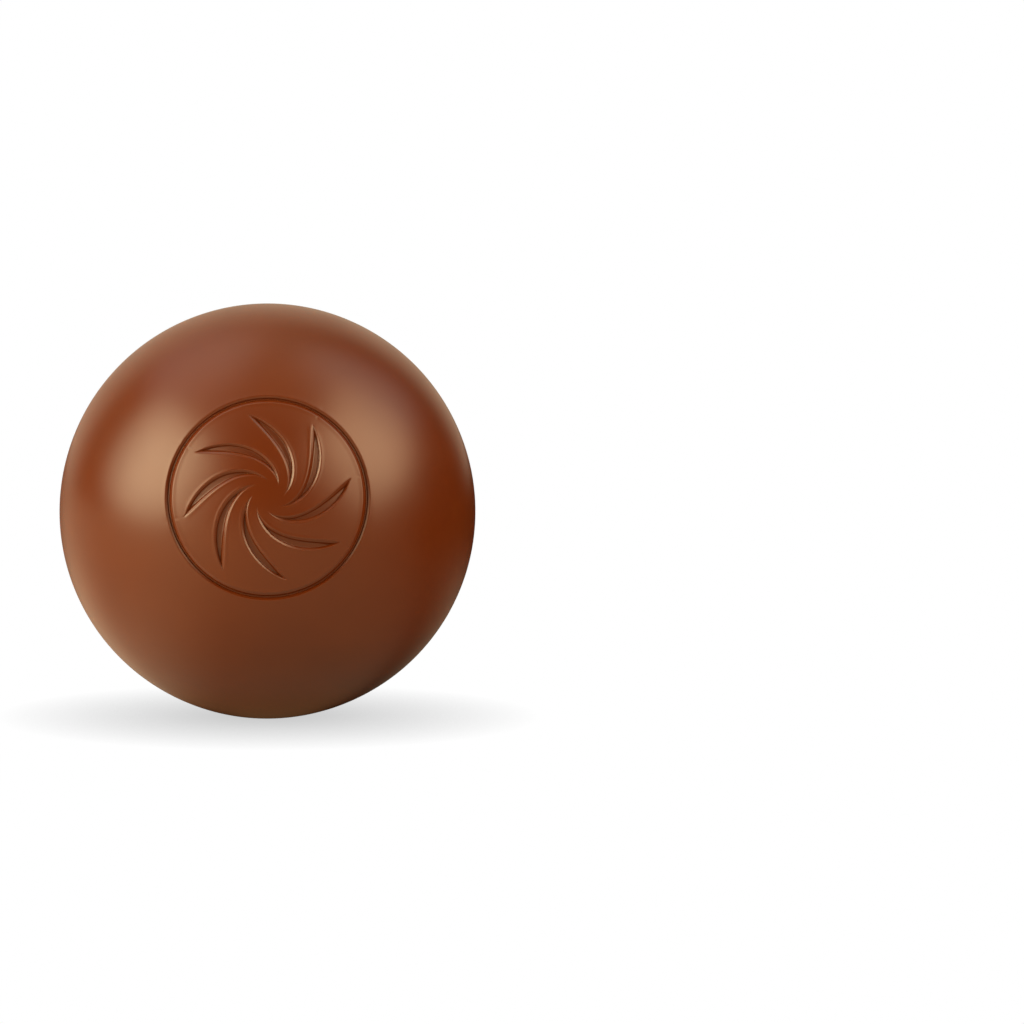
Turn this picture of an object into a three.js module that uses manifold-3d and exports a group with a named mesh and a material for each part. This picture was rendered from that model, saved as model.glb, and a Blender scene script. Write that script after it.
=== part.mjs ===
// A moulded milk chocolate truffle, in one piece: a ball that rests on a small flat foot.
// The face that looks forward (-Y) is engraved with a whirl of curved strokes inside a ring.
// Units are millimetres, +Z is up, and the origin is the middle of the foot.

import * as THREE from "three";
import { mergeVertices } from "three/addons/utils/BufferGeometryUtils.js";
import Module from "manifold-3d";

// Driving dimensions of the ball.
const BALL_DIAMETER = 28;
const FOOT_DIAMETER = 4; // the flat spot that it stands on
const BALL_COLUMNS = 60; // facets round the ball
const BALL_ROWS = 15; // facets from its widest place up to the top, and as many down to the foot

// Driving dimensions of the engraving. Its outlines are drawn flat and cut straight in,
// so every width and radius is as seen square on.
const FACE_TILT = THREE.MathUtils.degToRad(9); // how far the engraved face looks up
const ENGRAVING_DEPTH = 0.2;
const RING_RADIUS = 6.45; // to the middle of the groove
const RING_WIDTH = 0.46;
const RING_FACETS = 60;
const STROKE_COUNT = 8;
const STROKE_START = 1.0; // the inner tip's distance from the middle of the whirl
const STROKE_END = 5.55; // the outer tip's
const STROKE_WIDTH = 0.74; // where the stroke is widest
const STROKE_BELLY = 0.6; // where that is, as a share of the way out
const STROKE_TWIST = 1.05; // tangent of the angle between a stroke and the radius it crosses
const STROKE_STEPS = 14;

const MILK_CHOCOLATE = new THREE.Color(0x8c4524);
const SATIN_ROUGHNESS = 0.32;

const ballRadius = BALL_DIAMETER / 2;
const footRadius = FOOT_DIAMETER / 2;
const centreHeight = Math.sqrt(ballRadius ** 2 - footRadius ** 2);

const wasm = await Module();
wasm.setup();

// A closed geometry as a solid that can be cut and joined.
function solidOf(geometry) {
  const bare = new THREE.BufferGeometry();
  const loose = geometry.index ? geometry.toNonIndexed() : geometry;
  bare.setAttribute("position", loose.getAttribute("position"));
  const merged = mergeVertices(bare, 1e-4);
  return new wasm.Manifold(
    new wasm.Mesh({
      numProp: 3,
      vertProperties: merged.getAttribute("position").array,
      triVerts: new Uint32Array(merged.index.array),
    }),
  );
}

// The solid's faces as a geometry with flat normals.
function geometryOf(solid) {
  const mesh = solid.getMesh();
  const geometry = new THREE.BufferGeometry();
  geometry.setAttribute("position", new THREE.BufferAttribute(mesh.vertProperties, 3));
  geometry.setIndex(new THREE.BufferAttribute(mesh.triVerts, 1));
  const faceted = geometry.toNonIndexed();
  faceted.computeVertexNormals();
  return faceted;
}

// The ball: a flat foot, an arc from the foot's rim up to the widest place and an arc from
// there to the top, turned about Z.
function ball() {
  const arcPoints = (from, to) =>
    new THREE.ArcCurve(0, centreHeight, ballRadius, from, to, false).getPoints(BALL_ROWS);
  const footAngle = -Math.asin(centreHeight / ballRadius);
  const lower = arcPoints(footAngle, 0);
  const upper = arcPoints(0, Math.PI / 2);
  lower[0].y = 0; // exactly on the foot's plane
  upper[BALL_ROWS].x = 0; // and exactly on the axis
  const profile = [new THREE.Vector2(0, 0), ...lower, ...upper.slice(1)];
  return new THREE.LatheGeometry(profile, BALL_COLUMNS).rotateX(Math.PI / 2);
}

// Half of a stroke's width at a share of the way from its inner to its outer tip:
// a sine hump that is zero at both tips and highest at the belly.
function strokeHalfWidth(share) {
  const skew = Math.log(0.5) / Math.log(STROKE_BELLY);
  return (STROKE_WIDTH / 2) * Math.sin(Math.PI * share ** skew) ** 0.75;
}

// One stroke's outline: a logarithmic spiral, which crosses every radius at one angle,
// walked outwards along one edge and back along the other. An edge lies round the circle
// from the middle line, so the way there is the half width over the cosine of that angle.
function strokeShape(startAngle) {
  const lean = Math.atan(STROKE_TWIST);
  const edgePoint = (step, side) => {
    const share = step / STROKE_STEPS;
    const distance = THREE.MathUtils.lerp(STROKE_START, STROKE_END, share);
    const middle = startAngle + STROKE_TWIST * Math.log(distance / STROKE_START);
    const angle = middle + (side * strokeHalfWidth(share)) / (distance * Math.cos(lean));
    return new THREE.Vector2(distance * Math.cos(angle), distance * Math.sin(angle));
  };
  const outline = [];
  for (let step = 0; step <= STROKE_STEPS; step++) outline.push(edgePoint(step, -1));
  for (let step = STROKE_STEPS - 1; step > 0; step--) outline.push(edgePoint(step, 1));
  return new THREE.Shape(outline);
}

function ringShape() {
  const ring = new THREE.Shape().absarc(0, 0, RING_RADIUS + RING_WIDTH / 2, 0, 2 * Math.PI);
  ring.holes.push(new THREE.Path().absarc(0, 0, RING_RADIUS - RING_WIDTH / 2, 0, 2 * Math.PI));
  return ring;
}

// What the engraving takes away: the flat outlines as tall prisms, less everything
// deeper in the ball than the floor of the grooves.
function engraving() {
  const outlines = [ringShape()];
  for (let k = 0; k < STROKE_COUNT; k++) outlines.push(strokeShape((2 * Math.PI * k) / STROKE_COUNT));
  const prisms = new THREE.ExtrudeGeometry(outlines, {
    depth: BALL_DIAMETER,
    bevelEnabled: false,
    curveSegments: RING_FACETS / 2, // a full circle takes two facets for each
  });
  const floor = new THREE.SphereGeometry(ballRadius - ENGRAVING_DEPTH, BALL_COLUMNS, BALL_ROWS);
  prisms.rotateX(Math.PI / 2 - FACE_TILT).translate(0, 0, centreHeight);
  floor.rotateX(Math.PI / 2 - FACE_TILT).translate(0, 0, centreHeight);
  return solidOf(prisms).subtract(solidOf(floor));
}

const truffle = new THREE.Mesh(
  geometryOf(solidOf(ball()).subtract(engraving())),
  new THREE.MeshStandardMaterial({
    color: MILK_CHOCOLATE,
    roughness: SATIN_ROUGHNESS,
    metalness: 0,
  }),
);
truffle.name = "truffle";

const part = new THREE.Group();
part.add(truffle);
export default part;
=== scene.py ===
# %% [markdown]
# # A moulded milk chocolate truffle
#
# This lesson dresses one small sweet: a ball of milk chocolate, 28 mm across, that rests on a
# flat spot. Its front face is engraved with a whirl of curved strokes in a ring. The size and
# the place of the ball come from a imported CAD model, the frame, and everything that makes it
# look like chocolate is made here: a smooth engraved skin, a satin gloss, and the soft studio
# light that such a gloss needs.

import bpy
import numpy as np
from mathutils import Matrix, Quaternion, Vector


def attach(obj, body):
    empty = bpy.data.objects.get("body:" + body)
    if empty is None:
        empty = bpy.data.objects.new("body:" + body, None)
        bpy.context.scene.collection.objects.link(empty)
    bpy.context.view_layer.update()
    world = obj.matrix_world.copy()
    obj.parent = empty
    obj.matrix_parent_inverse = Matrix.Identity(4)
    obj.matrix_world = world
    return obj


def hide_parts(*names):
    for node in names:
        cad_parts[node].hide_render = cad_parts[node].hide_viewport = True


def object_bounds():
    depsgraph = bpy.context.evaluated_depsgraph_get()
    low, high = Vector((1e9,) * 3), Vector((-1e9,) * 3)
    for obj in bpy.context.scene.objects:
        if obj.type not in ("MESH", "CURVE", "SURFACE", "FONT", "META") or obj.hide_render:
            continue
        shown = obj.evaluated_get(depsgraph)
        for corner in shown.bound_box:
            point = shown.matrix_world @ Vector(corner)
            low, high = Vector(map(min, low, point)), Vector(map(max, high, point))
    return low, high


MM = 0.001  # the frame is in metres

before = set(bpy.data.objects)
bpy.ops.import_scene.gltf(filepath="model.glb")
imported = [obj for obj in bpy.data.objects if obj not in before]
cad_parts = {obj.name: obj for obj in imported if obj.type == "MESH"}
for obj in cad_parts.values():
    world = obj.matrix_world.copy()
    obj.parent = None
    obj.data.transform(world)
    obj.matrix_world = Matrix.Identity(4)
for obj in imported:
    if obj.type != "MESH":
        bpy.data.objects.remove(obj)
cad_low, cad_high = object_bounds()
print("CAD box in mm:", [round(side / MM, 3) for side in cad_high - cad_low])

# %% [markdown]
# ## Sizes
#
# The ball's own sizes are read from the frame: its radius is half of the box's width, and its
# middle lies one radius below the top. The skin is made a hair smaller, by the height of its
# mould seam, so that even the seam's crest stays inside the box. The engraving's sizes are those
# of the CAD model, which cuts the same whirl into its solid, so the two agree.

# %% Sizes
cad_radius = (cad_high.x - cad_low.x) / 2
centre = np.array([0.0, 0.0, cad_high.z - cad_radius])

SEAM_HEIGHT = 0.03 * MM
ball_radius = cad_radius - SEAM_HEIGHT

FACE_TILT = np.radians(9)  # how far the engraved face looks up
ENGRAVING_DEPTH = 0.2 * MM
RING_RADIUS = 6.45 * MM  # to the middle of the groove
RING_WIDTH = 0.46 * MM
STROKE_COUNT = 8
STROKE_START = 1.0 * MM  # the inner tip's distance from the middle of the whirl
STROKE_END = 5.55 * MM  # the outer tip's
STROKE_WIDTH = 0.74 * MM  # where the stroke is widest
STROKE_BELLY = 0.6  # where that is, as a share of the way out
STROKE_FULLNESS = 0.75  # power of the sine hump; the lower, the fuller the stroke near its tips
STROKE_TWIST = 1.05  # tangent of the angle between a stroke and the radius it crosses

print(f"ball radius {ball_radius / MM:.2f} mm, middle at {centre[2] / MM:.3f} mm")

# %% [markdown]
# ## The three directions of the face
#
# The engraving is drawn flat, in millimetres to the right and up, and is laid on the ball along
# one line of sight, the face's axis. So the surface is worked out in three directions of its
# own: right, up along the leaning face, and out of the face. A table of the three turns such a
# point into the frame's x, y and z.

# %% The face's directions
face_right = np.array([1.0, 0.0, 0.0])
face_up = np.array([0.0, np.sin(FACE_TILT), np.cos(FACE_TILT)])
face_out = np.array([0.0, -np.cos(FACE_TILT), np.sin(FACE_TILT)])
face_axes = np.stack([face_right, face_up, face_out])
print("the face looks towards", face_out.round(3))

# %% [markdown]
# ## One curved stroke
#
# A stroke follows a logarithmic spiral, the curve that crosses every radius at the same angle.
# A straight stroke would be simpler, but the whirl of a piped or spun sweet turns as it goes
# out. The stroke's width is a sine hump, pushed outwards so that its belly lies past the middle,
# and it is zero at both tips, as a graver leaves it.


# %% A stroke's width and path
def smooth_step(x):
    """Zero below 0, one above 1, and 3x² - 2x³ between, so it starts and ends level."""
    x = np.clip(x, 0.0, 1.0)
    return x * x * (3.0 - 2.0 * x)


def stroke_half_width(radius):
    """Half the width at a distance from the middle: (width / 2) times sin(pi * s^k)^fullness,
    where s is the share of the way out and k puts the hump's top at the belly."""
    share = np.clip((radius - STROKE_START) / (STROKE_END - STROKE_START), 0.0, 1.0)
    skew = np.log(0.5) / np.log(STROKE_BELLY)
    return STROKE_WIDTH / 2 * np.clip(np.sin(np.pi * share**skew), 0.0, 1.0) ** STROKE_FULLNESS


def stroke_angle(radius):
    """The middle line's angle at a distance from the middle: twist times ln(r / start)."""
    return STROKE_TWIST * np.log(np.clip(radius, STROKE_START, STROKE_END) / STROKE_START)


stroke_lean = np.arctan(STROKE_TWIST)
print(f"a stroke turns {np.degrees(stroke_angle(STROKE_END)):.0f} degrees on its way out")

# %% [markdown]
# ## Where the grid's lines go
#
# The skin is one grid wrapped round the face's axis, like lines of latitude and longitude whose
# pole is the middle of the whirl. Evenly spaced lines would miss a wall that is 0.2 mm wide,
# and a grid fine enough everywhere would be millions of faces. So the rings of latitude are
# packed by a density: the running total of the density is cut into equal steps, and each step
# gets one ring.

# %% Rings of latitude
LATITUDE_STEPS = 260  # from pole to pole, with a ring between each two
FINE_STEPS = 20000  # for the running total
WALL = 0.2 * MM  # the width of a groove's wall, seen along the face's axis
LIP = 0.12 * MM  # the width of the rounded lip outside it

# Where the rings lie closer than on the bare ball, and by how much.
STROKES_FROM, STROKES_TO, STROKES_FADE = 0.7 * MM, 6.0 * MM, 1.0 * MM
INNER_TIP_REACH, OUTER_TIP_REACH = 0.5 * MM, 0.4 * MM
WALL_REACH = 0.7 * WALL
SEAM_REACH = 0.02  # radians
ALONG_STROKES, AT_TIPS, ON_WALLS, AT_SEAM = 1.6, 1.2, 14.0, 3.0  # the bare ball counts as 1


def packed(low, high, density, count):
    """Count + 1 places from low to high, closest where the density is highest."""
    fine = np.linspace(low, high, FINE_STEPS + 1)
    total = np.cumsum(density(fine))
    return np.interp(np.linspace(total[0], total[-1], count + 1), total, fine)


def bump(x, middle, half_width):
    """A bell that is one at the middle and falls to about a third at the half width."""
    return np.exp(-(((x - middle) / half_width) ** 2))


def ring_density(angle):
    """How close the rings lie at an angle from the face's axis: one on the bare ball, more along
    the strokes, at their tips and at the mould seam, and most on the engraved ring's walls."""
    radius = cad_radius * np.sin(angle)
    front = angle < np.pi / 2
    past_start = smooth_step((radius - STROKES_FROM) / STROKES_FADE)
    before_end = smooth_step((STROKES_TO - radius) / STROKES_FADE)
    inner_tip = bump(radius, STROKE_START, INNER_TIP_REACH)
    outer_tip = bump(radius, STROKE_END, OUTER_TIP_REACH)
    walls = sum(
        front * bump(radius, RING_RADIUS + side * (RING_WIDTH - WALL) / 2, WALL_REACH)
        for side in (-1, 1)
    )
    strokes = ALONG_STROKES * front * past_start * before_end
    tips = AT_TIPS * front * (inner_tip + outer_tip)
    seam = AT_SEAM * bump(angle, np.pi / 2, SEAM_REACH)
    return 1.0 + strokes + tips + ON_WALLS * walls + seam


ring_angles = packed(0.0, np.pi, ring_density, LATITUDE_STEPS)[1:-1]  # without the poles
ring_radii = ball_radius * np.sin(ring_angles)
closest = np.degrees(np.diff(ring_angles).min())
print(f"{len(ring_angles)} rings, the closest {closest:.3f} degrees apart")

# %% [markdown]
# The lines of longitude are packed too, and they also bend: a group of them rides along each
# stroke, some on its floor, some down each wall, some over each lip, and the rest share the bare
# surface up to the next stroke. Past the outer tips they spread out evenly again. Where a stroke
# narrows to its tip, its lines would meet. So the group never gets narrower than a set share of
# the room that it has.

# %% Lines of longitude
HALF_SECTOR_LINES = 20  # from a stroke's middle to half way to the next stroke
FLOOR_LINES, WALL_LINES, LIP_LINES = 3, 8, 2
LEAST_EDGE_SHARE = 0.3  # of the room on one side of a stroke, the group's least half width
LEAST_EDGE_ROOM = 0.4 * MM  # more room than this doesn't widen it
LEAST_FLOOR_SHARE = 0.2  # of the group's half width
MOST_LIP_SHARE = 0.4  # of the room outside the group
SPREAD_LENGTH = 1.6 * MM  # how soon past the outer tips the lines are even


def ramp(first, count):
    """Zero up to line `first`, then even steps up to one over the next `count` lines."""
    line = np.arange(HALF_SECTOR_LINES + 1)
    return np.clip((line - first) / count, 0.0, 1.0)


def line_offsets(radius):
    """Distance of each line of a half sector from the stroke's middle line, one row for each
    ring: the floor's, wall's, lip's and bare stretch's widths, each times its own ramp."""
    reach = radius * np.cos(stroke_lean) * np.pi / STROKE_COUNT
    least_edge = LEAST_EDGE_SHARE * np.minimum(reach, LEAST_EDGE_ROOM)
    edge = np.maximum(stroke_half_width(radius), least_edge)
    floor = np.maximum(edge - WALL, LEAST_FLOOR_SHARE * edge)
    lip = np.minimum(LIP, MOST_LIP_SHARE * (reach - edge))
    bare_first = FLOOR_LINES + WALL_LINES + LIP_LINES
    near = (
        floor * ramp(0, FLOOR_LINES)
        + (edge - floor) * ramp(FLOOR_LINES, WALL_LINES)
        + lip * ramp(FLOOR_LINES + WALL_LINES, LIP_LINES)
        + (reach - edge - lip) * ramp(bare_first, HALF_SECTOR_LINES - bare_first)
    )
    even = reach * ramp(0, HALF_SECTOR_LINES)
    spread = smooth_step((radius - STROKE_END) / SPREAD_LENGTH)
    return near + (even - near) * spread


def sector_lines():
    """Signed distance from the nearest stroke's middle line and angle round the face's axis,
    for every ring (rows) and every line of longitude (columns)."""
    # Behind the ball's widest place the lines keep the places that they have there.
    in_front = ring_angles < np.pi / 2
    grid_radius = np.where(in_front, ring_radii, ball_radius)[:, None]
    half = line_offsets(grid_radius)
    across = np.concatenate([-half[:, :0:-1], half[:, :-1]], axis=1)
    turn = across / (grid_radius * np.cos(stroke_lean)) + stroke_angle(grid_radius)
    starts = 2 * np.pi * np.arange(STROKE_COUNT) / STROKE_COUNT
    angle = (turn[:, None, :] + starts[None, :, None]).reshape(len(ring_radii), -1)
    return np.tile(across, (1, STROKE_COUNT)), angle


across, turn = sector_lines()
radius = np.broadcast_to(ring_radii[:, None], turn.shape)
latitude = np.broadcast_to(ring_angles[:, None], turn.shape)
print(f"{turn.shape[0]} rings by {turn.shape[1]} lines")

# %% [markdown]
# ## Engraving and lip
#
# Each groove is one number first: how far inside its outline a point lies. The depth follows
# from it through a short table, the wall's profile. From its rounded edge the wall first leans
# in at about 37 degrees, which catches a lamp as a fine bright line, and then drops steeply to
# the floor, which draws a dark one. A wall that only drops would show no bright line. Just
# outside, chocolate stands up in a lip a fiftieth of a millimetre high.

# %% Depth of the engraving
LIP_HEIGHT = 0.018 * MM
PROFILE_PLACES = (0.0, 0.1, 0.68, 0.8, 0.94, 1.0)  # shares of the way down the wall's width
PROFILE_DEPTHS = (0.0, 0.06, 0.5, 0.7, 0.97, 1.0)  # shares of the depth at those places

on_front = latitude < np.pi / 2
half_width = stroke_half_width(radius)
inside_stroke = half_width - np.abs(across)
inside_ring = RING_WIDTH / 2 - np.abs(radius - RING_RADIUS)
inside = np.where(on_front, np.maximum(inside_stroke, inside_ring), -1.0)

sunk = np.interp(inside / WALL, PROFILE_PLACES, PROFILE_DEPTHS)
full_width = np.where(inside_ring > inside_stroke, 1.0, smooth_step(half_width / WALL))
lip = bump(inside, -LIP / 2, LIP / 2) * full_width * on_front
print(f"deepest {sunk.max() * ENGRAVING_DEPTH / MM:.2f} mm, {(sunk > 0.99).sum()} points on floors")

# %% [markdown]
# ## Seam and waves
#
# A truffle shell is cast in two halves. Where they meet, a hair-thin ridge runs round the ball,
# square to the face's axis, and it is seldom as high all the way round. The skin also isn't a
# perfect sphere: chocolate shrinks a little as it sets, so long, very low waves run over it. They
# bend a reflection only slightly, which is enough to tell it from a computed ball.

# %% Seam and waves
SEAM_HALF_WIDTH = 0.1 * MM
SEAM_MEAN, SEAM_SWING = 0.75, 0.25  # shares of the seam's height, as it goes round the ball
SEAM_START = 0.6  # radians, the phase of that swing
WAVE_HEIGHT = 0.012 * MM
WAVE_LENGTH = 11 * MM
WAVE_COUNT = 7
WAVE_SEED = 28

direction = np.stack(
    [np.sin(latitude) * np.cos(turn), np.sin(latitude) * np.sin(turn), np.cos(latitude)], axis=-1
)
rng = np.random.default_rng(WAVE_SEED)
wave_axes = rng.normal(size=(WAVE_COUNT, 3))
wave_axes /= np.linalg.norm(wave_axes, axis=1, keepdims=True)
wave_starts = rng.uniform(0.0, 2 * np.pi, WAVE_COUNT)


def waves(direction):
    """The mean of a few sines, each along its own slanted axis, scaled to the wave height and
    lowered by it, so that no crest stands out of the ball."""
    along = direction @ wave_axes.T * (2 * np.pi * ball_radius / WAVE_LENGTH)
    return WAVE_HEIGHT * (np.sin(along + wave_starts).mean(axis=-1) - 1.0)


def seam(latitude, turn):
    """A bell over the distance from the seam's plane, between half and full height as it goes
    round."""
    ridge = bump(ball_radius * (latitude - np.pi / 2), 0.0, SEAM_HALF_WIDTH)
    return SEAM_HEIGHT * ridge * (SEAM_MEAN + SEAM_SWING * np.sin(2 * turn + SEAM_START))


swell = waves(direction) + seam(latitude, turn) + LIP_HEIGHT * lip
print(f"skin stands {swell.min() / MM:.3f} to {swell.max() / MM:.3f} mm off the plain ball")

# %% [markdown]
# ## The points of the skin
#
# A point keeps its place in the flat drawing and only sinks along the face's axis, because the
# cutter that made the mould went straight in. On the engraved face that height is the root of
# (R - depth)² - r². The swell then moves the point along its own radius. At last the foot: where
# the ball would reach below the table, its height is held just above zero by a smooth maximum, so
# that the flat spot has a soft edge.

# %% Points
FOOT_SOFTNESS = 0.03 * MM


def skin_points():
    """Points of the skin in the frame, as an array of rings, lines and x, y, z."""
    sunk_radius = ball_radius - ENGRAVING_DEPTH * sunk
    out = np.where(
        sunk > 0,
        np.sqrt(np.maximum(sunk_radius**2 - radius**2, 0.0)),
        ball_radius * np.cos(latitude),
    )
    local = np.stack([radius * np.cos(turn), radius * np.sin(turn), out], axis=-1)
    local *= (1.0 + swell / ball_radius)[..., None]
    return local @ face_axes + centre


def rest_on_table(points):
    """Heights go through (z + sqrt(z² + s²)) / 2, which is z well above the table and nearly
    zero below it."""
    height = points[..., 2]
    points[..., 2] = (height + np.sqrt(height**2 + FOOT_SOFTNESS**2)) / 2
    return points


def pole(sign):
    """The point where the face's axis leaves the ball, on the face or behind it."""
    swollen = ball_radius + waves(np.array([0.0, 0.0, sign]))
    return rest_on_table(centre + sign * swollen * face_out)


points = rest_on_table(skin_points())
print("lowest point", round(points[..., 2].min() / MM, 4), "mm")

# %% [markdown]
# ## From grid to mesh
#
# The grid closes on itself round the axis, and each end is closed by a fan of triangles at a
# pole, so the skin is watertight. One number travels with every point, how sunk it is: the
# material reads it to finish the engraving in its own way, painted shade on the floors included.


# %% Build the mesh
def grid_faces(rings, lines):
    """Quads between neighbouring rings, wound so that they face outwards, and the two fans."""
    ring = np.arange(rings - 1)[:, None]
    line = np.arange(lines)[None, :]
    after = (line + 1) % lines
    corners = [
        ring * lines + line,
        (ring + 1) * lines + line,
        (ring + 1) * lines + after,
        ring * lines + after,
    ]
    quads = np.stack(np.broadcast_arrays(*corners), axis=-1).reshape(-1, 4)
    front_pole, back_pole = rings * lines, rings * lines + 1
    first, last = line[0], (rings - 1) * lines + line[0]
    front_fan = np.stack([np.full(lines, front_pole), first, after[0]], axis=-1)
    back_fan = np.stack([np.full(lines, back_pole), (rings - 1) * lines + after[0], last], axis=-1)
    return quads.tolist() + front_fan.tolist() + back_fan.tolist()


def add_point_values(mesh, name, values):
    """Stores one number for each point, zero at the poles, which a material can read by name."""
    padded = np.concatenate([values.ravel(), [0.0, 0.0]])
    mesh.attributes.new(name, "FLOAT", "POINT").data.foreach_set("value", padded)


rings, lines = turn.shape
mesh = bpy.data.meshes.new("truffle_skin")
all_points = np.concatenate([points.reshape(-1, 3), [pole(1)], [pole(-1)]])
mesh.from_pydata(all_points.tolist(), [], grid_faces(rings, lines))
mesh.polygons.foreach_set("use_smooth", np.ones(len(mesh.polygons), dtype=bool))
add_point_values(mesh, "sunk", sunk)
mesh.validate()
mesh.update()

skin = bpy.data.objects.new("truffle_skin", mesh)
bpy.context.collection.objects.link(skin)
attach(skin, "root")
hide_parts("truffle")
triangles = 2 * (rings - 1) * lines + 2 * lines
print(f"{len(all_points)} points, {triangles} triangles")

# %% [markdown]
# ## Helpers for nodes
#
# A material is a tree of nodes, and a node is made, set and linked in three or four lines. Most
# of them say nothing about chocolate, so a few helpers write them: each makes one node, fills its
# inputs with numbers or with other nodes' outputs, and hands back its result.

# %% Node helpers
MIX_COLOUR_A, MIX_COLOUR_B, MIX_COLOUR_RESULT = 6, 7, 2  # where a Mix node has its colour sockets
OPAQUE_WHITE = (1.0, 1.0, 1.0, 1.0)


def feed(tree, socket, value):
    """Sets a socket to a value, or links it where the value is another node's output."""
    if isinstance(value, bpy.types.NodeSocket):
        tree.links.new(value, socket)
    else:
        socket.default_value = value


def wired(tree, kind, **inputs):
    """A new node with its inputs fed by name, with _ for a space."""
    node = tree.nodes.new(kind)
    for name, value in inputs.items():
        feed(tree, node.inputs[name.replace("_", " ")], value)
    return node


def maths(tree, operation, *values):
    """One sum, product or the like of numbers."""
    node = tree.nodes.new("ShaderNodeMath")
    node.operation = operation
    for socket, value in zip(node.inputs, values):
        feed(tree, socket, value)
    return node.outputs["Value"]


def vector_maths(tree, operation, *values):
    """The same for vectors. A dot product comes out as a number."""
    node = tree.nodes.new("ShaderNodeVectorMath")
    node.operation = operation
    for socket, value in zip(node.inputs, values):
        feed(tree, socket, value)
    return node.outputs["Value" if operation == "DOT_PRODUCT" else "Vector"]


def mixed(tree, share, first, second):
    """A colour between two others."""
    node = tree.nodes.new("ShaderNodeMix")
    node.data_type = "RGBA"
    feed(tree, node.inputs["Factor"], share)
    feed(tree, node.inputs[MIX_COLOUR_A], first)
    feed(tree, node.inputs[MIX_COLOUR_B], second)
    return node.outputs[MIX_COLOUR_RESULT]


def value_between(tree, value, from_low, from_high, to_low=0.0, to_high=1.0, smooth=False):
    """A number moved from one range to another and kept inside it."""
    node = wired(
        tree, "ShaderNodeMapRange", Value=value, From_Min=from_low, From_Max=from_high,
        To_Min=to_low, To_Max=to_high,
    )
    node.interpolation_type = "SMOOTHSTEP" if smooth else "LINEAR"
    return node.outputs["Result"]


print("node helpers: feed, wired, maths, vector_maths, mixed, value_between")

# %% [markdown]
# ## Milk chocolate
#
# Tempered milk chocolate is a dark, reddish brown body under a skin of cocoa butter crystals that
# copies the polished mould. Light goes a little way in and comes out redder, which is subsurface
# scattering. The gloss is satin, and slightly warm where one looks straight at it. None of this is
# perfectly even, so a node group turns noise into a gentle drift between two values, and the
# material uses it for the colour, the gloss and the relief, each at its own scale.

# %% Node group: drift
NOISE_LOW, NOISE_HIGH = 0.1, 0.9  # noise seldom leaves this range


def drift_group():
    """A node group that gives a value that wanders between Low and High over a given Size."""
    group = bpy.data.node_groups.new("Drift", "ShaderNodeTree")
    group.interface.new_socket("Vector", in_out="INPUT", socket_type="NodeSocketVector")
    for name in ("Size", "Detail", "Low", "High"):
        group.interface.new_socket(name, in_out="INPUT", socket_type="NodeSocketFloat")
    group.interface.new_socket("Value", in_out="OUTPUT", socket_type="NodeSocketFloat")
    given = group.nodes.new("NodeGroupInput").outputs
    noise = wired(
        group, "ShaderNodeTexNoise", Vector=given["Vector"], Detail=given["Detail"],
        Scale=maths(group, "DIVIDE", 1.0, given["Size"]),
    )
    spread = value_between(
        group, noise.outputs["Fac"], NOISE_LOW, NOISE_HIGH, given["Low"], given["High"]
    )
    wired(group, "NodeGroupOutput", Value=spread)
    return group


drift = drift_group()


def drifting(tree, place, size, low=0.0, high=1.0, detail=2.0):
    """The Drift group, placed with its own values."""
    node = tree.nodes.new("ShaderNodeGroup")
    node.node_tree = drift
    values = {"Vector": place, "Size": size, "Detail": detail, "Low": low, "High": high}
    for name, value in values.items():
        feed(tree, node.inputs[name], value)
    return node.outputs["Value"]


print("made node group", drift.name)

# %% [markdown]
# The engraving is finished in its own way. Its floors are duller than the polished skin, with a
# fine grit, and a little darker in colour, which is painted shade for the sunk groove; its walls
# are glossier. Each could be a material of its own, but then hard borders would show. The sunk
# value that the points carry blends them instead. Where it is neither zero nor one is a wall:
# sunk times one minus sunk is nothing on the skin and on the floor, and a quarter half way down.
#
# What is the same all over the skin is set straight on the shader, with no node before it.


# %% Material: milk chocolate
def colour(red, green, blue):
    """A colour given as it shows on a screen (0 to 255), as the linear numbers that shaders use,
    by the sRGB formula."""
    shown = np.array([red, green, blue]) / 255
    linear = np.where(shown <= 0.04045, shown / 12.92, ((shown + 0.055) / 1.055) ** 2.4)
    return (*linear.tolist(), 1.0)


BODY_BROWN = colour(88, 37, 7)
DEEP_BROWN = colour(81, 32, 6)  # the body drifts to it and back
# Painted shade: the grooves' floors get a darker brown than the body, standing in for the shade down
# in them.
GROOVE_SHADE_BROWN = colour(80, 33, 8)  # on the engraving's floors
COLOUR_PATCH = 5 * MM

SATIN_LOW, SATIN_HIGH = 0.275, 0.345  # the roughness drifts between them
SATIN_PATCH = 3.5 * MM
GROOVE_ROUGHNESS = 0.03  # added on the engraving's floors
WALL_GLOSS = 0.22  # taken off half way down its walls
WALL_PEAK = 0.25  # what sunk times one minus sunk is there

RELIEF_SIZE, RELIEF_HEIGHT = 1.4 * MM, 0.002 * MM  # all over the skin
GRIT_SIZE, GRIT_HEIGHT = 0.12 * MM, 0.005 * MM  # on the engraving's floors

SAME_ALL_OVER = {
    "IOR": 1.46,
    "Specular Tint": (1.0, 0.93, 0.77, 1.0),
    "Subsurface Weight": 0.1,
    "Subsurface Radius": (1.0, 0.35, 0.12),  # how far red, green and blue go in, times the scale
    "Subsurface Scale": 1.2 * MM,
}


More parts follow.
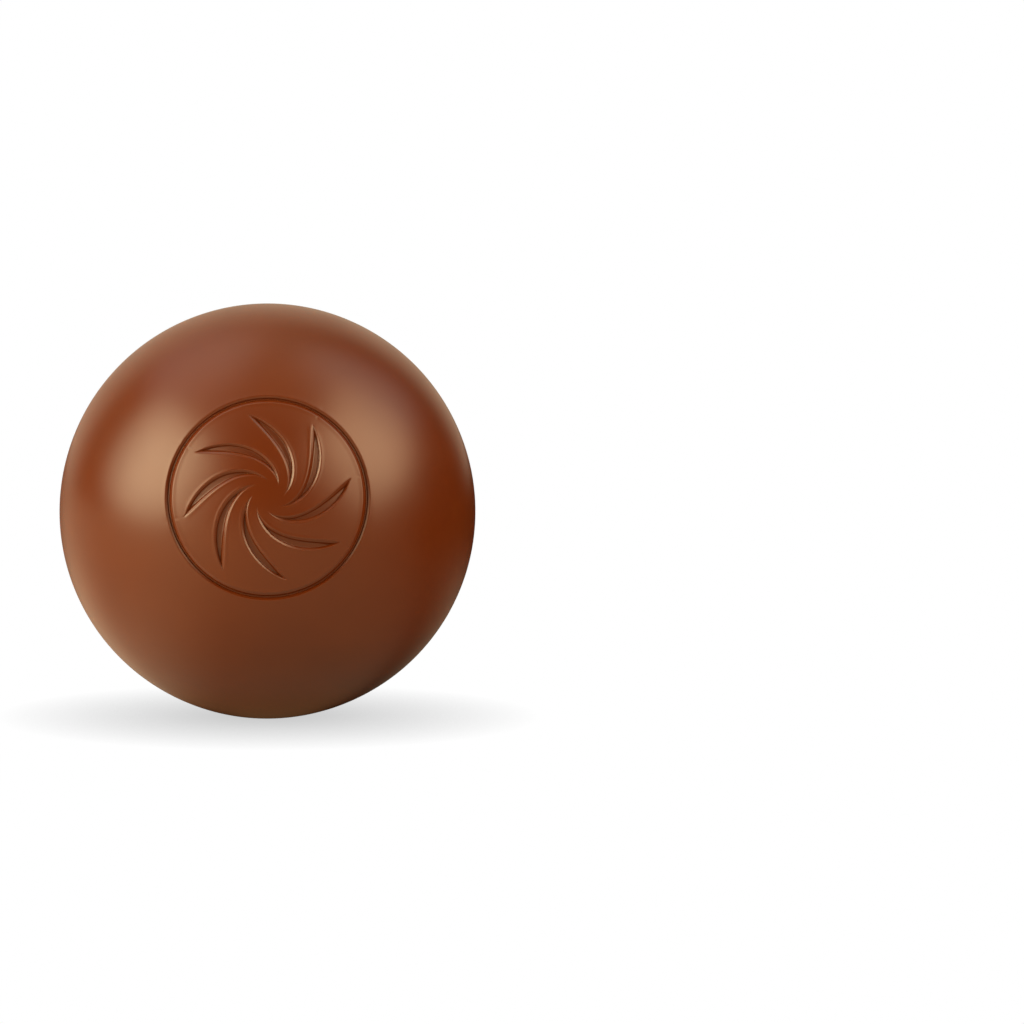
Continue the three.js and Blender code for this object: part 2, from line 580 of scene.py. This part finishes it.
def milk_chocolate():
    """Colour, roughness and relief that drift over the skin and change with the sunk value."""
    material = bpy.data.materials.new("milk_chocolate")
    material.use_nodes = True
    tree = material.node_tree
    shader = tree.nodes["Principled BSDF"]
    place = tree.nodes.new("ShaderNodeTexCoord").outputs["Object"]
    sunk_value = tree.nodes.new("ShaderNodeAttribute")
    sunk_value.attribute_name = "sunk"
    is_sunk = sunk_value.outputs["Fac"]
    on_wall = maths(tree, "MULTIPLY", maths(tree, "SUBTRACT", 1.0, is_sunk), is_sunk)

    body = mixed(tree, drifting(tree, place, COLOUR_PATCH), BODY_BROWN, DEEP_BROWN)
    # Towards the floors the colour blends to the darker brown, painted shade in the grooves.
    feed(tree, shader.inputs["Base Color"], mixed(tree, is_sunk, body, GROOVE_SHADE_BROWN))

    satin = drifting(tree, place, SATIN_PATCH, SATIN_LOW, SATIN_HIGH)
    dull = maths(tree, "MULTIPLY_ADD", is_sunk, GROOVE_ROUGHNESS, satin)
    glossy = maths(tree, "MULTIPLY_ADD", on_wall, -WALL_GLOSS / WALL_PEAK, dull)
    feed(tree, shader.inputs["Roughness"], glossy)

    relief = wired(
        tree, "ShaderNodeBump", Height=drifting(tree, place, RELIEF_SIZE), Strength=1.0,
        Distance=RELIEF_HEIGHT,
    )
    grit_height = maths(tree, "MULTIPLY", drifting(tree, place, GRIT_SIZE), is_sunk)
    grit = wired(
        tree, "ShaderNodeBump", Height=grit_height, Strength=1.0, Distance=GRIT_HEIGHT,
        Normal=relief.outputs["Normal"],
    )
    feed(tree, shader.inputs["Normal"], grit.outputs["Normal"])

    for name, value in SAME_ALL_OVER.items():
        shader.inputs[name].default_value = value
    return material


skin.data.materials.append(milk_chocolate())
print("material slots:", [slot.name for slot in skin.material_slots])

# %% [markdown]
# ## What surrounds the ball
#
# A glossy ball shows its whole surroundings, so they matter as much as the material. A white
# room would be simple, but a ball in it looks milky all over. So the camera and the ball see
# two different places. The camera sees a plain white floor that runs into an equally white
# distance. The ball sees a dark studio with a few soft lights. The Light Path node tells them
# apart, and because it asks what is looking and not from where, the ball is lit alike in every
# view.

# %% Seen by the camera or by the ball
WHITE = 1.0  # how light the floor and the distance are for the camera


def camera_or_ball(tree, shown, glow, tint):
    """The strength and the colour of a light that is white for the camera, at the level `shown`,
    and tinted for the ball, at the level `glow`."""
    is_camera = tree.nodes.new("ShaderNodeLightPath").outputs["Is Camera Ray"]
    level = wired(tree, "ShaderNodeMix", Factor=is_camera, A=glow, B=shown)
    return level.outputs["Result"], mixed(tree, is_camera, tint, OPAQUE_WHITE)


print("the camera sees the floor and the distance at", WHITE)

# %% [markdown]
# ## Floor
#
# The floor has no lamp of its own. It shines by itself, evenly for the camera but for a little
# darkening close to where the ball stands, which an Ambient Occlusion node works out. For the ball
# it is light in front and on the left, and dim elsewhere, as the lamps of the studio leave it.
# Close under a real ball the floor gets only light that has come off the chocolate, so there its
# tint turns brown. It is one big triangle, because the line between two faces would show as a
# hair in the darkening.

# %% Floor
FLOOR_REACH = 30.0  # m, from the ball to the middle of each side
CONTACT_SHADE = 0.6  # how light the floor is where the ball touches it
CONTACT_REACH = 9 * MM  # how far the darkening reaches
CONTACT_SAMPLES = 4  # rays that look for the ball from each place

# How light the floor is for the ball on each side, and its tint. An edge is a pair of shares of
# a direction from the ball, sideways or upwards: where something starts, and where it is full.
FRONT_GLOW, BACK_GLOW, LEFT_GLOW, RIGHT_GLOW = 1.16, 0.36, 1.0, 0.1
SIDE_EDGE = (0.18, 0.8)  # of the left and right glow, sideways
HORIZON_EDGE = (-0.11, -0.42)  # of the back and right glow, upwards
FLOOR_TINT = (1.0, 0.72, 0.45, 1.0)
BOUNCE_TINT = (1.0, 0.5, 0.21, 1.0)  # close under the ball
BOUNCE_EDGE = (-0.84, -0.97)  # of that tint, upwards


def floor_material():
    """For the camera white, darker where little of the sky is open. For the ball a glow that
    rises with how far to its front, back, left or right a place lies. At the back and on the
    right it fades towards the horizon, and close under the ball its tint turns brown."""
    material = bpy.data.materials.new("floor")
    material.use_nodes = True
    tree = material.node_tree
    tree.nodes.remove(tree.nodes["Principled BSDF"])
    openness = wired(tree, "ShaderNodeAmbientOcclusion", Distance=CONTACT_REACH)
    openness.samples = CONTACT_SAMPLES
    shown = value_between(tree, openness.outputs["AO"], 0.0, 1.0, CONTACT_SHADE * WHITE, WHITE)

    place = tree.nodes.new("ShaderNodeTexCoord").outputs["Object"]
    direction = vector_maths(tree, "NORMALIZE", vector_maths(tree, "SUBTRACT", place, centre))
    rightward, backward, upward = wired(tree, "ShaderNodeSeparateXYZ", Vector=direction).outputs
    leftward = maths(tree, "MULTIPLY", rightward, -1.0)
    front = value_between(tree, backward, 0.0, -1.0, 0.0, FRONT_GLOW)
    back = value_between(tree, backward, 0.0, 1.0, 0.0, BACK_GLOW)
    left = value_between(tree, leftward, *SIDE_EDGE, 0.0, LEFT_GLOW, smooth=True)
    right = value_between(tree, rightward, *SIDE_EDGE, 0.0, RIGHT_GLOW, smooth=True)
    near = value_between(tree, upward, *HORIZON_EDGE, smooth=True)
    faded = maths(tree, "MULTIPLY", maths(tree, "ADD", back, right), near)
    glow = maths(tree, "ADD", maths(tree, "ADD", front, left), faded)

    is_under = value_between(tree, upward, *BOUNCE_EDGE, smooth=True)
    tint = mixed(tree, is_under, FLOOR_TINT, BOUNCE_TINT)
    level, light_colour = camera_or_ball(tree, shown, glow, tint)
    light = wired(tree, "ShaderNodeEmission", Color=light_colour, Strength=level)
    feed(tree, tree.nodes["Material Output"].inputs["Surface"], light.outputs["Emission"])
    return material


corner_turns = np.radians([90, 210, 330])
corner_reach = 2 * FLOOR_REACH  # a triangle's corners lie twice as far out as its sides' middles
corner_directions = np.stack([np.cos(corner_turns), np.sin(corner_turns), np.zeros(3)], axis=-1)
floor_mesh = bpy.data.meshes.new("floor")
floor_mesh.from_pydata((corner_reach * corner_directions).tolist(), [], [(0, 1, 2)])
floor = bpy.data.objects.new("floor", floor_mesh)
floor.data.materials.append(floor_material())
bpy.context.collection.objects.link(floor)
print("the floor reaches", FLOOR_REACH, "m from the ball")

# %% [markdown]
# ## Room
#
# The rest of the room is the world round the scene. It could be built wall by wall, but a satin
# ball blurs what it reflects, so soft patches in the right directions do as well. A pale wall
# far behind draws the light edge round the ball's outline, and a dimmer, cooler ceiling brightens
# the crown.

# %% World
BACK_WALL, CEILING = 0.82, 0.6  # how light they are for the ball
WALL_MIDDLE = Vector((-0.1, 0.95, 0.19)).normalized()  # where the wall is lightest, from the ball
WALL_EDGE = (0.68, 0.9)  # where the wall starts and is full, as a share towards its middle
CEILING_EDGE = (0.68, 1.0)  # the same for the ceiling, as a share upwards
WALL_TINT = (1.0, 0.78, 0.53, 1.0)
CEILING_TINT = (1.0, 0.91, 0.6, 1.0)


def surroundings():
    """White for the camera. For the ball a soft round patch of wall behind it, and a ceiling
    that grows lighter up to straight above."""
    world = bpy.data.worlds.new("studio")
    world.use_nodes = True
    tree = world.node_tree
    background = tree.nodes["Background"]
    direction = tree.nodes.new("ShaderNodeTexCoord").outputs["Generated"]
    upward = wired(tree, "ShaderNodeSeparateXYZ", Vector=direction).outputs["Z"]
    towards_wall = vector_maths(tree, "DOT_PRODUCT", direction, WALL_MIDDLE)
    is_wall = value_between(tree, towards_wall, *WALL_EDGE, smooth=True)
    wall = maths(tree, "MULTIPLY", is_wall, BACK_WALL)
    ceiling = value_between(tree, upward, *CEILING_EDGE, 0.0, CEILING, smooth=True)
    tint = mixed(tree, is_wall, CEILING_TINT, WALL_TINT)
    level, light_colour = camera_or_ball(tree, WHITE, maths(tree, "ADD", wall, ceiling), tint)
    feed(tree, background.inputs["Strength"], level)
    feed(tree, background.inputs["Color"], light_colour)
    return world


bpy.context.scene.world = surroundings()
print("world:", bpy.context.scene.world.name)

# %% [markdown]
# ## Softboxes
#
# The broad highlights come from softboxes left and right, turned to the ball and a little above
# it, and a dimmer one behind and above on either side fills the crown. A real softbox is hot in
# its middle and fades towards its edges, and a satin ball shows exactly that. A bare area lamp is
# evenly bright, so the lamps get a few nodes: Geometry's Parametric output runs from 0 to 1
# across the lamp's face, and the brightness falls off with it.

# %% Softboxes
LAMP_DISTANCE = 0.6  # m
FADE_MARGIN = 1.5  # a lamp reaches this many times further than where it has faded to a third
SIDE_FADE, END_FADE = 2.3, 5.0  # the higher, the flatter the middle and the quicker the fade

WARM = (1.0, 0.82, 0.58)
AMBER = (1.0, 0.74, 0.51)
NEUTRAL = (1.0, 1.0, 1.0)


def fading(lamp):
    """Brightness exp(-(|u|^p + |v|^q)), where u and v are one where the lamp is down to a third
    on its sides and at its top and bottom."""
    lamp.use_nodes = True
    tree = lamp.node_tree
    face = tree.nodes.new("ShaderNodeNewGeometry").outputs["Parametric"]
    over_face = wired(tree, "ShaderNodeSeparateXYZ", Vector=face)

    def falloff(place, power):
        offset = maths(tree, "MULTIPLY", maths(tree, "SUBTRACT", place, 0.5), 2 * FADE_MARGIN)
        return maths(tree, "POWER", maths(tree, "ABSOLUTE", offset), power)

    sides = falloff(over_face.outputs["X"], SIDE_FADE)
    ends = falloff(over_face.outputs["Y"], END_FADE)
    base = float(np.exp(-1.0))
    level = maths(tree, "POWER", base, maths(tree, "ADD", sides, ends))
    feed(tree, tree.nodes["Emission"].inputs["Strength"], level)


def softbox(name, azimuth, elevation, roll, width, height, radiance, tint):
    """A lamp that faces the ball, from an azimuth to the right of the ball's front, an elevation
    and a roll, in degrees. Width and height, for each metre of distance, reach to where the lamp
    has faded to a third. The power is radiance times area times pi."""
    lamp = bpy.data.lights.new(name, "AREA")
    lamp.shape = "RECTANGLE"
    lamp.size = FADE_MARGIN * LAMP_DISTANCE * width
    lamp.size_y = FADE_MARGIN * LAMP_DISTANCE * height
    lamp.energy = radiance * lamp.size * lamp.size_y * np.pi
    lamp.color = tint
    fading(lamp)
    side, rise = np.radians(azimuth), np.radians(elevation)
    level_part = np.cos(rise)
    away = Vector((np.sin(side) * level_part, -np.cos(side) * level_part, np.sin(rise)))
    light = bpy.data.objects.new(name, lamp)
    light.location = Vector(centre) + LAMP_DISTANCE * away
    rolled = Quaternion((0.0, 0.0, 1.0), np.radians(roll))
    light.rotation_euler = (away.to_track_quat("Z", "Y") @ rolled).to_euler()
    light.visible_camera = False
    bpy.context.collection.objects.link(light)
    return light


softboxes = [
    softbox("left", -68, 21.7, roll=-15, width=0.98, height=0.9, radiance=10.9, tint=WARM),
    softbox("right", 64.7, 31.6, roll=31, width=0.98, height=0.86, radiance=7.9, tint=AMBER),
    softbox("right_above", 109, 51.8, roll=0, width=0.54, height=0.92, radiance=1.08, tint=NEUTRAL),
    softbox("left_above", -112, 61, roll=0, width=0.9, height=0.76, radiance=1.05, tint=NEUTRAL),
]
print("softboxes in W:", {light.name: round(light.data.energy, 2) for light in softboxes})

# %% [markdown]
# ## Camera
#
# The picture is taken from nearly level with the ball through a long lens, so the outline is as
# good as a circle. The ball stands left of the middle. The camera first looks straight at it, and is
# then turned by the small angle that moves the ball to its place in the picture.

# %% Camera
LENS, SENSOR = 200.0, 36.0
NEAREST, FURTHEST = 0.01, 100.0  # m, what the camera sees
PICTURE = 1024
BALL_PIXEL = (267.8, 511.0)  # the ball's middle in the picture, from its upper left corner
BALL_PIXEL_RADIUS = 208.0
CAMERA_ELEVATION = np.radians(5)

pixel_focus = LENS / SENSOR * PICTURE
distance = float(cad_radius / np.sin(np.arctan(BALL_PIXEL_RADIUS / pixel_focus)))
camera = bpy.data.objects.new("camera", bpy.data.cameras.new("camera"))
camera.data.lens, camera.data.sensor_width = LENS, SENSOR
camera.data.clip_start, camera.data.clip_end = NEAREST, FURTHEST
back = Vector((0.0, -np.cos(CAMERA_ELEVATION), np.sin(CAMERA_ELEVATION)))
camera.location = Vector(centre) + distance * back
to_pixel = Vector((BALL_PIXEL[0] - PICTURE / 2, PICTURE / 2 - BALL_PIXEL[1], -pixel_focus))
aside = Vector((0.0, 0.0, -1.0)).rotation_difference(to_pixel)
camera.rotation_euler = (back.to_track_quat("Z", "Y") @ aside.inverted()).to_euler()
bpy.context.collection.objects.link(camera)
bpy.context.scene.camera = camera
bpy.context.scene.view_settings.view_transform = "Standard"
print(f"camera {distance:.3f} m from the ball")
